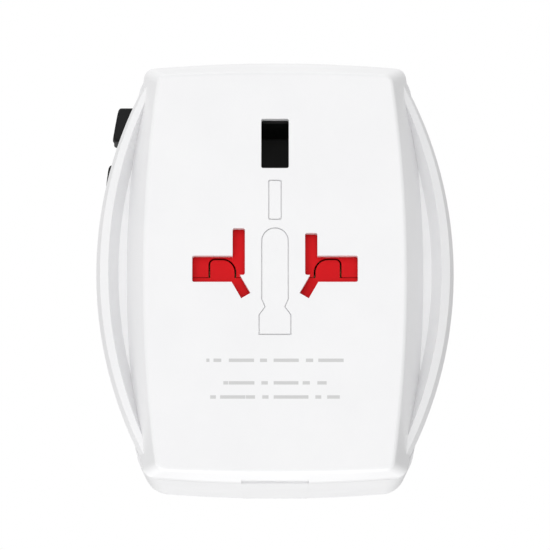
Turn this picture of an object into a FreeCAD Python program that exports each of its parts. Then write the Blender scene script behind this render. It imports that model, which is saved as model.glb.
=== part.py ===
import FreeCAD, Part
import Sketcher
import math
import os
import re

# Universal travel adapter. X runs across the socket face, Y from the face to the plug side, Z up.
# The origin is at the middle of the underside. Depths are measured back from the socket face.

doc = FreeCAD.newDocument("travel_adapter")
sheet = doc.addObject("Spreadsheet::Sheet", "Dims")

DIMENSIONS = {
    # whole body
    "body_depth": 50.0, "body_height": 75.9, "split_depth": 12.0, "line_height": 37.2, "gap": 0.3,
    # socket panel, raised in the middle of the front cover
    "panel_mid": 23.3, "panel_corner": 20.8, "panel_height": 35.3, "panel_crown": 0.5, "panel_rise": 36.8,
    "foot_mid": 26.6, "foot_corner": 23.4, "foot_height": 36.85, "foot_crown": 1.1,
    "panel_round": 0.7, "corner_round": 2.0, "notch_half": 6.0, "notch_front": 6.2, "notch_rise": 0.45,
    # barrel rim and the grooves between it and the panel
    "rim_mid": 29.8, "rim_corner": 20.3, "rim_height": 35.8, "rim_depth": 5.5,
    "swell_mid": 31.3, "swell_corner": 21.8, "swell_height": 35.9, "swell_depth": 6.3,
    "bulge_mid": 32.1, "bulge_corner": 22.6, "bulge_height": 36.0, "bulge_crown": 0.35, "bulge_depth": 9.2,
    "groove_mid": 28.1, "groove_arc": 75.9, "groove_depth": 8.5,
    "cover_wall": 2.0, "cavity_mid": 24.6, "cavity_corner": 21.2, "cavity_height": 35.0,
    # rear housing
    "rear_mid": 28.2, "rear_corner": 23.85, "rear_side_height": 36.85, "rear_crown": 1.1, "rear_wall": 1.8,
    "rear_round": 4.7, "rear_edge": 1.6, "foot_flat": 6.0, "seam": 0.25,
    # openings in the socket face, measured from the line through the two pin sockets
    "wide_in": 7.4, "wide_out": 14.66, "wide_half": 2.35, "blade_in": 5.33, "blade_out": 7.42,
    "blade_top_left": 7.26, "blade_top_right": 6.4, "blade_foot": 1.1, "slot_round": 0.35,
    "tilt_width": 1.9, "tilt_length": 4.6, "tilt_end": 5.155, "tilt_drop": 4.805, "tilt_angle": 30.0,
    "earth_half": 2.45, "earth_long": 8.9, "earth_rise": 22.5,
    "recess": 0.08, "line_cut": 0.45, "line_wide": 0.2, "window_half": 1.2, "window_long": 7.2, "window_rise": 12.35,
    "key_half": 2.45, "key_top": 7.5, "key_waist": 6.8, "key_foot_half": 2.9, "key_foot": 11.8,
    "key_shoulder": 8.2, "key_pinch": 1.85, "key_neck": 5.4,
    # safety shutters and their springs
    "shutter_front": 2.3, "shutter_back": 4.3, "shutter_half": 16.0, "shutter_top": 8.2,
    "shutter_split": 1.3, "shutter_foot": 6.2, "shutter_gap": 0.12, "lobe_top": 1.85, "lobe_in": 7.2,
    "lobe_centre": 9.4, "lobe_heel": 11.5, "lobe_round": 0.8, "lobe_gap": 0.32,
    "spring_place": 11.0, "spring_radius": 0.9, "spring_bore": 0.6, "spring_reach": 12.6,
    # contact carrier
    "carrier_front": 4.6, "carrier_back": 22.0, "carrier_half": 16.9, "carrier_rise": 9.0,
    "tower_half": 4.4, "tower_top": 66.0, "tunnel_in": 4.9, "tunnel_out": 15.1, "tunnel_back": 20.0,
    "tunnel_foot": 6.1, "tunnel_top": 8.1, "leaf": 0.5, "leaf_gap": 2.45, "leaf_front": 6.0, "leaf_in": 8.0,
    "leaf_out": 15.0, "plate_in": 5.0, "side_leaf": 0.3, "side_leaf_in": 4.95, "side_leaf_front": 8.0,
    "tab_front": 15.0, "tab_back": 17.0, "tab_foot": 2.9, "tab_head": 0.9, "tab_in": 12.5, "tab_out": 14.5,
    # busbars and fuse
    "bar_front": 22.05, "bar_back": 22.65, "bar_end": 47.0, "bar_in": 15.6, "bar_out": 17.6,
    "euro_finger_in": 8.0, "euro_finger_out": 12.0, "us_finger_in": 6.0, "us_finger_out": 10.0,
    "fuse_x": 20.6, "fuse_depth": 16.5, "fuse_radius": 2.6, "fuse_long": 20.0, "fuse_cap": 5.0,
    "clip_long": 4.0, "clip_sheet": 0.4,
    # plug carriages: depth at rest, thickness and travel
    "slide_front": 23.0, "slide_thick": 5.0, "slide_travel": 20.0, "stem_half": 1.4, "slot_half": 1.65,
    "detent_in": 20.6, "detent_front": 25.0, "detent_back": 46.0, "guide_foot": 48.0, "guide_top": 60.0,
    "guide_wall": 1.3, "socket_start": 0.8,
    "knob_half": 3.2, "knob_front": 21.5, "knob_long": 8.0, "knob_mid": 32.1, "knob_rise": 1.1, "knob_arc": 166.0,
    "uk_knob_z": 66.0, "euro_knob_z": 55.3, "us_knob_z": 44.6,
    # three-pin plug
    "uk_z": 41.0, "uk_pitch": 11.1, "uk_wide": 6.35, "uk_tall": 3.95, "uk_core_wide": 5.2,
    "uk_core_tall": 2.9, "uk_long": 19.7, "uk_sleeve": 11.0, "uk_earth_z": 63.2, "uk_earth_tall": 7.93,
    "uk_earth_long": 21.6, "uk_bar_half": 15.2, "uk_bar_tall": 5.0, "uk_spine_half": 3.0,
    # two-pin round plug
    "euro_z": 30.0, "euro_pitch": 9.5, "euro_radius": 2.0, "euro_core": 1.45, "euro_sleeve_radius": 1.9,
    "euro_long": 21.0, "euro_sleeve": 12.0, "euro_bar_tall": 7.0, "euro_arm_out": 19.8,
    "euro_arm_in": 17.2, "euro_bar_right": 13.0,
    # flat-blade plug
    "us_z": 18.0, "us_pitch": 6.35, "us_wide": 6.35, "us_thick": 1.5, "us_long": 17.0, "us_bar_tall": 12.0,
    "us_arm_out": 23.6, "us_arm_in": 21.0, "us_bar_right": 12.0, "turret_radius": 4.3, "turret_thick": 2.0,
    "journal_radius": 2.4, "running": 0.1,
    # screws and their bosses
    "boss_radius": 3.2, "boss_top_x": 17.0, "boss_top_z": 71.0, "boss_foot_x": 20.0, "boss_foot_z": 6.6,
    "screw_radius": 1.1, "screw_head_radius": 2.0, "screw_head": 1.6, "screw_seat": 20.0,
    "screw_tip": 6.0, "boss_bore": 2.3,
}

for row, (alias, size) in enumerate(DIMENSIONS.items(), start=1):
    sheet.set(f"A{row}", alias)
    sheet.set(f"B{row}", str(size))
    sheet.setAlias(f"B{row}", alias)
doc.recompute()


def formula(text):
    """The expression for a text that names cells by their aliases."""
    return re.sub(r"[a-z_]+", lambda word: f"Dims.{word[0]}" if word[0] in DIMENSIONS else word[0], str(text))


def value(text):
    return float(sheet.evalExpression(formula(text)))


def bind(item, **sizes):
    for name, text in sizes.items():
        item.setExpression(name, formula(text))
    return item


def put(item, x, depth, z):
    item.setExpression("Placement.Base.x", formula(x))
    item.setExpression("Placement.Base.y", formula(f"{depth} - body_depth / 2"))
    item.setExpression("Placement.Base.z", formula(z))
    return item


def box(x, depth, z):
    """A block between two x, two depths and two heights."""
    block = doc.addObject("Part::Box", "block")
    bind(block, Length=f"({x[1]}) - ({x[0]})", Width=f"({depth[1]}) - ({depth[0]})")
    bind(block, Height=f"({z[1]}) - ({z[0]})")
    return put(block, x[0], depth[0], z[0])


def rod(x, depth, z, radius):
    """A cylinder along the depth, between two depths."""
    cylinder = doc.addObject("Part::Cylinder", "rod")
    bind(cylinder, Radius=radius, Height=f"({depth[1]}) - ({depth[0]})")
    cylinder.Placement = FreeCAD.Placement(FreeCAD.Vector(), FreeCAD.Rotation(FreeCAD.Vector(1, 0, 0), -90))
    return put(cylinder, x, depth[0], z)


def post(x, depth, z, radius):
    """A cylinder standing up, between two heights."""
    cylinder = doc.addObject("Part::Cylinder", "post")
    bind(cylinder, Radius=radius, Height=f"({z[1]}) - ({z[0]})")
    return put(cylinder, x, depth, z[0])


def fuse(items, name="joined"):
    joined = doc.addObject("Part::MultiFuse", name)
    joined.Shapes = items
    return joined


def group(items, name):
    """Separate solids that share one node."""
    together = doc.addObject("Part::Compound", name)
    together.Links = items
    return together


def cut(base, tools, name="cut"):
    rest = doc.addObject("Part::Cut", name)
    rest.Base = base
    rest.Tool = tools[0] if len(tools) == 1 else fuse(tools)
    return rest


def rounded(item, radius, chosen):
    """Fillets the edges that the function picks."""
    doc.recompute()
    smooth = doc.addObject("Part::Fillet", "rounded")
    smooth.Base = item
    size = value(radius)
    smooth.Edges = [(i, size, size) for i, edge in enumerate(item.Shape.Edges, start=1) if chosen(edge)]
    return smooth


def along_depth(edge):
    direction = edge.tangentAt(edge.FirstParameter)
    return abs(direction.y) > 0.99


def slot(x, z, depth):
    """A cutter with rounded corners for an opening in the socket face."""
    return rounded(box(x, depth, z), "slot_round", along_depth)


# ---- sketches on planes parallel to the socket face ----

def face_sketch(body, name, depth, rise):
    sketch = body.newObject("Sketcher::SketchObject", name)
    plane = [item for item in body.Origin.OriginFeatures if item.Role == "XZ_Plane"][0]
    sketch.AttachmentSupport = [(plane, "")]
    sketch.MapMode = "FlatFace"
    sketch.setExpression("AttachmentOffset.Base.y", formula(rise))
    sketch.setExpression("AttachmentOffset.Base.z", formula(f"body_depth / 2 - ({depth})"))
    return sketch


def arc_middle(start, end, radius):
    """The middle of an arc from start to end that bulges to the right of the way it runs."""
    chord = end - start
    half = chord.Length / 2
    rise = abs(radius) - math.sqrt(radius * radius - half * half)
    side = FreeCAD.Vector(chord.y, -chord.x, 0).normalize()
    return (start + end) / 2 + side * math.copysign(rise, radius)


def outline(body, name, depth, rise, points, arcs):
    """A closed outline: points as pairs of formulas, and arcs as {index of the first point: radius}.
    A negative radius bulges inwards on an outline that runs anticlockwise."""
    sketch = face_sketch(body, name, depth, rise)
    places = [FreeCAD.Vector(value(x), value(z), 0) for x, z in points]
    count = len(points)
    for i, (start, end) in enumerate(zip(places, places[1:] + places[:1])):
        if i in arcs:
            middle = arc_middle(start, end, value(arcs[i]))
            sketch.addGeometry(Part.Arc(start, middle, end), False)
        else:
            sketch.addGeometry(Part.LineSegment(start, end), False)
    # an arc always runs anticlockwise, so an inward one has its two ends swapped
    first = [2 if i in arcs and value(arcs[i]) < 0 else 1 for i in range(count)]
    for i in range(count):
        after = (i + 1) % count
        sketch.addConstraint(Sketcher.Constraint("Coincident", i, 3 - first[i], after, first[after]))
    for i, (x, z) in enumerate(points):
        for kind, text, letter in (("DistanceX", x, "x"), ("DistanceY", z, "z")):
            number = sketch.addConstraint(Sketcher.Constraint(kind, -1, 1, i, first[i], value(text)))
            sketch.renameConstraint(number, f"{letter}{i}")
            sketch.setExpression(f"Constraints.{letter}{i}", formula(text))
    for i, radius in arcs.items():
        number = sketch.addConstraint(Sketcher.Constraint("Radius", i, abs(value(radius))))
        sketch.renameConstraint(number, f"r{i}")
        sketch.setExpression(f"Constraints.r{i}", formula(f"abs({radius})"))
    return sketch


def sagitta_radius(half_chord, rise):
    return f"(({half_chord}) ^ 2 + ({rise}) ^ 2) / (2 * ({rise}))"


def barrel(body, name, depth, mid, corner, height, crown, rise="body_height / 2"):
    """A barrel outline about one height: two bowed sides, and slightly bowed top and bottom."""
    corners = [(corner, f"-({height})"), (corner, height), (f"-({corner})", height), (f"-({corner})", f"-({height})")]
    side = sagitta_radius(height, f"({mid}) - ({corner})")
    end = sagitta_radius(corner, crown)
    return outline(body, name, depth, rise, corners, {0: side, 1: end, 2: side, 3: end})


def loft(body, kind, name, sections):
    item = body.newObject(f"PartDesign::{kind}Loft", name)
    item.Profile = sections[0]
    item.Sections = sections[1:]
    item.Ruled = True
    return item


def pad(body, name, sketch, length):
    """Extrudes a sketch backwards, away from the socket face."""
    item = body.newObject("PartDesign::Pad", name)
    item.Profile = sketch
    item.Reversed = True
    bind(item, Length=length)
    return item


def soften(body, name, feature, radius, chosen):
    doc.recompute()
    edges = [f"Edge{i}" for i, edge in enumerate(feature.Shape.Edges, start=1) if chosen(edge)]
    item = body.newObject("PartDesign::Fillet", name)
    item.Base = (feature, edges)
    bind(item, Radius=radius)
    return item


def is_corner_edge(edge):
    """An edge that runs back along one of the four corners of a barrel outline."""
    start, end = edge.Vertexes[0].Point, edge.Vertexes[-1].Point
    return abs(end.y - start.y) > 1.0 and abs(start.x) > 15.0 and abs(start.z - value("body_height / 2")) > 30.0


def at_depth(depth, reach):
    """Picks edges that lie wholly at one depth and pass a given distance from the middle."""
    y = value(f"{depth} - body_depth / 2")

    def chosen(edge):
        box_of = edge.BoundBox
        far = max(abs(box_of.XMin), abs(box_of.XMax), abs(box_of.Center.z - value("body_height / 2")))
        return abs(box_of.YMin - y) < 0.01 and abs(box_of.YMax - y) < 0.01 and far > reach
    return chosen


# ---- front cover ----

def panel_block():
    """The raised socket panel, wider at its foot, with rounded corners and a rounded front edge."""
    body = doc.addObject("PartDesign::Body", "panel_block")
    front = barrel(body, "panel_front", "0", "panel_mid", "panel_corner", "panel_height", "panel_crown", "panel_rise")
    foot = barrel(body, "panel_foot", "groove_depth", "foot_mid", "foot_corner", "foot_height", "foot_crown")
    loft(body, "Additive", "panel_slope", [front, foot])
    base = barrel(body, "panel_base", "groove_depth", "foot_mid", "foot_corner", "foot_height", "foot_crown")
    straight = pad(body, "panel_straight", base, "split_depth - groove_depth")
    corners = soften(body, "panel_corners", straight, "corner_round", is_corner_edge)
    soften(body, "panel_edge", corners, "panel_round", at_depth("0", 10))
    doc.recompute()
    return body


def rim_block():
    """The barrel behind the panel, cut away into a groove along each side."""
    body = doc.addObject("PartDesign::Body", "rim_block")
    lip = barrel(body, "rim_lip", "rim_depth", "rim_mid", "rim_corner", "rim_height", "bulge_crown")
    swell = barrel(body, "rim_swell", "swell_depth", "swell_mid", "swell_corner", "swell_height", "bulge_crown")
    widest = barrel(body, "rim_widest", "bulge_depth", "bulge_mid", "bulge_corner", "bulge_height", "bulge_crown")
    loft(body, "Additive", "rim_rise", [lip, swell, widest])
    base = barrel(body, "rim_base", "bulge_depth", "bulge_mid", "bulge_corner", "bulge_height", "bulge_crown")
    pad(body, "rim_straight", base, "split_depth - bulge_depth")
    doc.recompute()
    cutter = doc.addObject("PartDesign::Body", "groove_cutter")
    sections = []
    for name, depth, mid in (("groove_top", "rim_depth - 0.4", "rim_mid + 0.2"),
                             ("groove_floor", "groove_depth", "groove_mid")):
        tall = "foot_height + 4"
        drop = f"groove_arc - sqrt(groove_arc ^ 2 - ({tall}) ^ 2)"
        sections.append(barrel(cutter, name, depth, mid, f"{mid} - ({drop})", tall, "0.2"))
    loft(cutter, "Additive", "groove", sections)
    doc.recompute()
    return cut(body, [cutter])


def pin_openings(depth):
    """Cutters for the two pin sockets: a wide slot, an upright blade slot and a tilted blade slot each."""
    cutters = []
    for sign, blade_top in (("-", "blade_top_left"), ("", "blade_top_right")):
        wide = sorted([f"{sign}wide_in", f"{sign}wide_out"], key=value)
        blade = sorted([f"{sign}blade_in", f"{sign}blade_out + {'-' if sign else ''}0.1"], key=value)
        cutters.append(slot(wide, ("line_height - wide_half", "line_height + wide_half"), depth))
        cutters.append(slot(blade, ("line_height - blade_foot", f"line_height + {blade_top}"), depth))
        tilt = box(("0", "tilt_width"), depth, ("0", "tilt_length"))
        angle = value("tilt_angle") * (-1 if sign else 1)
        tilt.Placement = FreeCAD.Placement(FreeCAD.Vector(), FreeCAD.Rotation(FreeCAD.Vector(0, 1, 0), angle))
        turned = "cos(tilt_angle * 1 deg)"
        lean = "sin(tilt_angle * 1 deg)"
        rise = "-" if sign else "+"
        put(tilt, f"{sign}tilt_end - tilt_width / 2 * {turned}", depth[0],
            f"line_height - tilt_drop {rise} tilt_width / 2 * {lean}")
        cutters.append(tilt)
    return cutters


def keyhole(depth, inset):
    """A keyhole outline, drawn in by the inset and extruded between two depths."""
    body = doc.addObject("PartDesign::Body", "keyhole")
    half, foot = f"key_half - {inset}", f"key_foot_half - {inset}"
    right = [(foot, f"-(key_foot - {inset})"), (foot, "-key_shoulder"), (f"key_pinch - {inset}", "-key_waist"),
             (half, "-key_neck"), (half, "key_top - key_half")]
    left = [(f"-({x})", z) for x, z in reversed(right)]
    sketch = outline(body, "keyhole_outline", depth[0], "line_height", right + left, {4: f"({half}) * 1.001"})
    pad(body, "keyhole_pad", sketch, f"({depth[1]}) - ({depth[0]})")
    doc.recompute()
    return body


def window(depth, inset):
    half, middle = f"window_half - {inset}", "line_height + window_rise"
    reach = f"(window_long / 2 - {inset})"
    return slot((f"-({half})", half), (f"{middle} - {reach}", f"{middle} + {reach}"), depth)


def face_recesses():
    """Two shallow moulded marks above the pin sockets, a window and a keyhole, each with a fine groove round it."""
    return [cut(shape(("-1", "line_cut"), "0"), [shape(("recess", "line_cut + 0.1"), "line_wide")])
            for shape in (keyhole, window)]


def screw_places():
    return [("-boss_top_x", "boss_top_z"), ("boss_top_x", "boss_top_z"),
            ("-boss_foot_x", "boss_foot_z"), ("boss_foot_x", "boss_foot_z")]


def cover_envelope():
    """The rounded outline that the rim and the panel's foot both stay inside."""
    body = doc.addObject("PartDesign::Body", "cover_envelope")
    sketch = barrel(body, "envelope_outline", "-1", "bulge_mid + 0.05", "rear_corner", "rear_side_height + 0.1",
                    "rear_crown")
    block = pad(body, "envelope_pad", sketch, "split_depth + 1")
    soften(body, "envelope_corners", block, "rear_round", is_corner_edge)
    doc.recompute()
    return body


def shared(items, name="shared"):
    """The space that all the items hold."""
    overlap = doc.addObject("Part::MultiCommon", name)
    overlap.Shapes = items
    return overlap


def make_front_cover():
    solid = shared([fuse([rim_block(), panel_block()]), cover_envelope()])
    hollow = doc.addObject("PartDesign::Body", "cover_hollow")
    near = barrel(hollow, "hollow_near", "cover_wall", "panel_mid - cover_wall", "panel_corner - cover_wall",
                  "panel_height - cover_wall", "panel_crown", "panel_rise")
    far = barrel(hollow, "hollow_far", "split_depth + 0.01", "cavity_mid", "cavity_corner", "cavity_height",
                 "panel_crown")
    loft(hollow, "Additive", "hollow", [near, far])
    doc.recompute()
    shell = cut(solid, [hollow])
    bosses = [rod(x, ("screw_tip - 2", "split_depth"), z, "boss_radius") for x, z in screw_places()]
    rails = [box(x, ("cover_wall - 0.2", "carrier_front"), ("line_height - 17", "line_height + 17.5"))
             for x in (("-shutter_half - 1.4", "-shutter_half - running"),
                       ("shutter_half + running", "shutter_half + 1.4"))]
    spring_top = "line_height + shutter_top + spring_reach"
    spring_foot = "line_height - shutter_foot - spring_reach"
    stops = [box((f"{side}spring_place - 1.4", f"{side}spring_place + 1.4"),
                 ("cover_wall - 0.2", "carrier_front"), z)
             for side in ("-", "") for z in ((spring_top, f"{spring_top} + 1.2"),
                                             (f"{spring_foot} - 1.2", spring_foot))]
    earth = slot(("-earth_half", "earth_half"), ("line_height + earth_rise - earth_long / 2",
                                                 "line_height + earth_rise + earth_long / 2"), ("-1", "3"))
    bores = [rod(x, ("screw_tip - 0.5", "split_depth + 1"), z, "screw_radius") for x, z in screw_places()]
    # a notch under the lower edge, where a blade goes in to part the two shells
    notch = box(("-notch_half", "notch_half"), ("notch_front", "split_depth + 1"), ("-1", "notch_rise"))
    openings = pin_openings(("-1", "cover_wall + 0.2")) + [earth, notch]
    whole = fuse([shell, shared([fuse(bosses), solid])] + rails + stops)
    return cut(whole, openings + face_recesses() + bores, "front_cover")


# ---- shutters ----

def shutter_body(name, label_outline, arcs):
    body = doc.addObject("PartDesign::Body", name)
    sketch = outline(body, f"{name}_outline", "shutter_front", "line_height", label_outline, arcs)
    pad(body, f"{name}_plate", sketch, "shutter_back - shutter_front")
    return body


def make_upper_shutter():
    """The upper shutter, notched to fit over the two lobes of the lower one."""
    low = "-shutter_split + shutter_gap / 2"
    top = "lobe_top + lobe_gap"
    right = [("lobe_in - lobe_gap", low), ("lobe_in - lobe_gap", "lobe_top - lobe_centre + lobe_in"),
             ("lobe_centre", top), ("lobe_heel - lobe_round", top),
             ("lobe_heel + lobe_gap", "lobe_top - lobe_round"), ("lobe_heel + lobe_gap", low)]
    left = [(f"-({x})", z) for x, z in reversed(right)]
    points = left + right + [("shutter_half", low), ("shutter_half", "shutter_top"),
                             ("-shutter_half", "shutter_top"), ("-shutter_half", low)]
    flank = "-(lobe_centre - lobe_in + lobe_gap)"
    corner = "-(lobe_round + lobe_gap)"
    return shutter_body("upper_shutter", points, {1: corner, 3: flank, 7: flank, 9: corner})


def make_lower_shutter():
    """The lower shutter with two rounded lobes that rise into the wide slots."""
    top = "-shutter_split - shutter_gap / 2"
    right = [("lobe_heel", top), ("lobe_heel", "lobe_top - lobe_round"), ("lobe_heel - lobe_round", "lobe_top"),
             ("lobe_centre", "lobe_top"), ("lobe_in", "lobe_top - lobe_centre + lobe_in"), ("lobe_in", top)]
    left = [(f"-({x})", z) for x, z in reversed(right)]
    points = [("-shutter_half", "-shutter_foot"), ("shutter_half", "-shutter_foot"), ("shutter_half", top)]
    points += right + left + [("-shutter_half", top)]
    flank = "lobe_centre - lobe_in"
    return shutter_body("lower_shutter", points, {4: "lobe_round", 6: flank, 10: flank, 12: "lobe_round"})


def shutter_springs(name, z):
    tubes = []
    for side in ("-", ""):
        place = (f"{side}spring_place", "(shutter_front + shutter_back) / 2", z)
        tubes.append(cut(post(*place, "spring_radius"), [post(*place, "spring_bore")]))
    return group(tubes, name)


# ---- contacts ----

def make_contact_carrier():
    """The inner block that holds the contacts, with a tunnel behind each pin opening and an earth pocket."""
    block = box(("-carrier_half", "carrier_half"), ("carrier_front", "carrier_back"),
                ("line_height - carrier_rise", "line_height + carrier_rise"))
    tower = box(("-tower_half", "tower_half"), ("carrier_front", "carrier_back"),
                ("line_height + carrier_rise - 1", "tower_top"))
    cutters = []
    for x in (("-tunnel_out", "-tunnel_in"), ("tunnel_in", "tunnel_out")):
        cutters.append(box(x, ("carrier_front - 1", "tunnel_back"),
                           ("line_height - tunnel_foot", "line_height + tunnel_top")))
    cutters.append(box(("-earth_half", "earth_half"), ("carrier_front - 1", "carrier_back - 1"),
                       ("line_height + earth_rise - earth_long / 2", "line_height + earth_rise + earth_long / 2")))
    cutters.append(box(("tunnel_out - 1", "carrier_half + 1"), ("tab_front - 0.1", "tab_back + 0.1"),
                       ("line_height - tab_foot - 0.1", "line_height - tab_head + 0.1")))
    cutters.append(box(("-tab_out - 0.1", "-tab_in + 0.1"), ("tunnel_back - 1", "carrier_back + 1"),
                       ("line_height - 1.1", "line_height + 1.1")))
    return cut(fuse([block, tower]), cutters, "contact_carrier")


def make_contact(name, sign, tab):
    """A sprung contact: two leaves round the wide pin, one beside the blades, and a back plate."""
    def ordered(low, high):
        return sorted([f"{sign}({low})", f"{sign}({high})"], key=value)

    back = "tunnel_back - leaf"
    high = ("line_height + leaf_gap", "line_height + leaf_gap + leaf")
    low = ("line_height - leaf_gap - leaf", "line_height - leaf_gap")
    all_over = (low[0], high[1])
    leaves = ("leaf_front", back)
    plates = [box(ordered("leaf_in", "leaf_out"), leaves, high),
              box(ordered("leaf_in", "leaf_out"), leaves, low),
              box(ordered("leaf_out - leaf", "leaf_out"), leaves, all_over),
              box(ordered("plate_in", "leaf_out"), (back, "tunnel_back"), all_over),
              box(ordered("side_leaf_in", "side_leaf_in + side_leaf"), ("side_leaf_front", "tunnel_back"),
                  ("line_height - 1", "line_height + leaf_gap + leaf")),
              tab]
    return fuse(plates, name)


def make_busbar(name, sign, extra):
    """A flat bar behind the carrier with a long finger beside each plug's sliding contact."""
    def ordered(low, high):
        return sorted([f"{sign}({low})", f"{sign}({high})"], key=value)

    sheet_depth = ("bar_front", "bar_back")
    finger = ("bar_back", "bar_end")
    euro_top = "euro_z + euro_bar_tall / 2 + 0.5"
    us_top = "us_z + us_bar_tall / 2 + 0.4"
    pieces = [box(ordered("bar_in", "bar_out - 0.7"), sheet_depth, (us_top, "line_height + carrier_rise")),
              box(ordered("bar_in", "bar_in + 0.6"), finger, ("uk_z - 2", "uk_z + 2")),
              box(ordered("euro_finger_in", "bar_in"), sheet_depth, (euro_top, f"{euro_top} + 1.5")),
              box(ordered("euro_finger_in", "euro_finger_out"), finger, (euro_top, f"{euro_top} + 0.5")),
              box(ordered("us_finger_in", "bar_in"), sheet_depth, (us_top, f"{us_top} + 1.2")),
              box(ordered("us_finger_in", "us_finger_out"), finger, (us_top, f"{us_top} + 0.5"))]
    return fuse(pieces + extra, name)


def fuse_ends():
    """The two heights at which the fuse's end caps are centred."""
    return ["line_height - fuse_long / 2 + fuse_cap / 2", "line_height + fuse_long / 2 - fuse_cap / 2"]


def make_fuse_tube():
    return post("fuse_x", "fuse_depth", ("line_height - fuse_long / 2 + 0.4", "line_height + fuse_long / 2 - 0.4"),
                "fuse_radius - 0.2")


def make_fuse_caps():
    caps = []
    for low, high, inner_low, inner_high in (
            ("line_height - fuse_long / 2", "line_height - fuse_long / 2 + fuse_cap",
             "line_height - fuse_long / 2 + 0.4", "line_height - fuse_long / 2 + fuse_cap + 1"),
            ("line_height + fuse_long / 2 - fuse_cap", "line_height + fuse_long / 2",
             "line_height + fuse_long / 2 - fuse_cap - 1", "line_height + fuse_long / 2 - 0.4")):
        cup = post("fuse_x", "fuse_depth", (low, high), "fuse_radius")
        caps.append(cut(cup, [post("fuse_x", "fuse_depth", (inner_low, inner_high), "fuse_radius - 0.2")]))
    return group(caps, "fuse_end_caps")


def make_fuse_clips():
    """Two sprung clips: the lower one meets the live contact, the upper one the live busbar."""
    near = "fuse_depth - fuse_radius - 0.05"
    far = "fuse_depth + fuse_radius + 0.05"
    base_x = ("bar_out", "bar_out + 0.35")
    clips = []
    for centre in fuse_ends():
        z = (f"{centre} - clip_long / 2", f"{centre} + clip_long / 2")
        plates = [box(base_x, (f"{near} - clip_sheet", f"{far} + clip_sheet"), z),
                  box(("bar_out", "fuse_x + 2"), (f"{near} - clip_sheet", near), z),
                  box(("bar_out", "fuse_x + 2"), (far, f"{far} + clip_sheet"), z)]
        if centre == fuse_ends()[0]:
            plates.append(box(base_x, ("tab_front", "tab_back"), (z[1], "line_height - tab_head")))
        else:
            plates.append(box(base_x, (f"{far} + clip_sheet", "bar_back"), z))
        clips.append(fuse(plates))
    return group(clips, "fuse_clips")


# ---- rear housing ----

def rear_half(z, wall="0"):
    """Half the width of the rear housing at a height, outside or inside its wall."""
    side = sagitta_radius(f"rear_side_height - ({wall})", "rear_mid - rear_corner")
    return f"(rear_mid - ({wall}) - ({z} - body_height / 2) ^ 2 / (2 * {side}))"


def make_rear_housing():
    body = doc.addObject("PartDesign::Body", "rear_shell")
    sketch = barrel(body, "rear_outline", "split_depth + seam", "rear_mid", "rear_corner", "rear_side_height",
                    "rear_crown")
    solid = pad(body, "rear_pad", sketch, "body_depth - split_depth - seam")
    corners = soften(body, "rear_corners", solid, "rear_round", is_corner_edge)
    soften(body, "rear_edge", corners, "rear_edge", at_depth("body_depth", 20))
    doc.recompute()
    cavity = doc.addObject("PartDesign::Body", "rear_cavity")
    inner = barrel(cavity, "rear_inner", "split_depth - 1", "rear_mid - rear_wall", "rear_corner - rear_wall",
                   "rear_side_height - rear_wall", "rear_crown")
    hollow = pad(cavity, "rear_hollow", inner, "body_depth - rear_wall - split_depth + 1")
    soften(cavity, "rear_inner_corners", hollow, "rear_round - rear_wall", is_corner_edge)
    doc.recompute()
    bosses = [rod(x, ("split_depth", "body_depth - rear_wall + 0.1"), z, "boss_radius") for x, z in screw_places()]
    inside = ("slide_front", "body_depth - rear_wall + 0.1")
    spine_z = ("guide_foot", "guide_top")
    guides = [box(("euro_bar_right + running", "euro_bar_right + guide_wall"), inside, ("euro_z - 3", "euro_z + 3")),
              box(("us_bar_right + running", "us_bar_right + guide_wall"), inside, ("us_z - 4", "us_z + 4")),
              box(("-uk_spine_half - guide_wall", "-uk_spine_half - running"), inside, spine_z),
              box(("uk_spine_half + running", "uk_spine_half + guide_wall"), inside, spine_z)]
    rests = [box(("-foot_flat", "foot_flat"), ("split_depth + seam", "body_depth - rear_edge"), ("0", "1.2"))]
    rear = ("body_depth - rear_wall - 1", "body_depth + 1")
    holes = [box((f"{x} - uk_wide / 2 - gap", f"{x} + uk_wide / 2 + gap"), rear,
                 ("uk_z - uk_tall / 2 - gap", "uk_z + uk_tall / 2 + gap")) for x in ("-uk_pitch", "uk_pitch")]
    holes.append(box(("-uk_tall / 2 - gap", "uk_tall / 2 + gap"), rear,
                     ("uk_earth_z - uk_earth_tall / 2 - gap", "uk_earth_z + uk_earth_tall / 2 + gap")))
    holes += [rod(x, rear, "euro_z", "euro_radius + gap") for x in ("-euro_pitch", "euro_pitch")]
    holes += [rod(x, rear, "us_z", "turret_radius + running") for x in ("-us_pitch", "us_pitch")]
    path = ("slide_front - 0.2", "slide_front + slide_thick + slide_travel + 0.1")
    holes += [box(("-rear_mid - 1", f"-{rear_half(z, 'rear_wall')} + 1.4"), path, (f"{z} - slot_half", f"{z} + slot_half"))
              for z in ("uk_knob_z", "euro_knob_z", "us_knob_z")]
    holes += [rod(x, ("screw_seat - screw_head", "body_depth + 1"), z, "boss_bore") for x, z in screw_places()]
    holes += [rod(x, ("split_depth - 1", "screw_seat"), z, "screw_radius + 0.1") for x, z in screw_places()]
    shell = cut(body, [cavity])
    return cut(fuse([shell] + bosses + guides + rests), holes, "rear_housing")


def make_screws():
    screws = []
    for x, z in screw_places():
        shank = rod(x, ("screw_tip", "screw_seat - screw_head"), z, "screw_radius")
        head = rod(x, ("screw_seat - screw_head", "screw_seat"), z, "screw_head_radius")
        screws.append(fuse([shank, head]))
    return group(screws, "housing_screws")


def make_detents():
    """A leaf above each knob's stem that holds its plug in or out."""
    leaves = []
    for z in ("uk_knob_z", "euro_knob_z", "us_knob_z"):
        top = f"{z} + stem_half + 0.35"
        leaves.append(box((f"-{rear_half(top, 'rear_wall')} + gap", "-detent_in"), ("detent_front", "detent_back"),
                          (top, f"{top} + 0.4")))
    return group(leaves, "detent_springs")


# ---- sliding plugs ----

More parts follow.
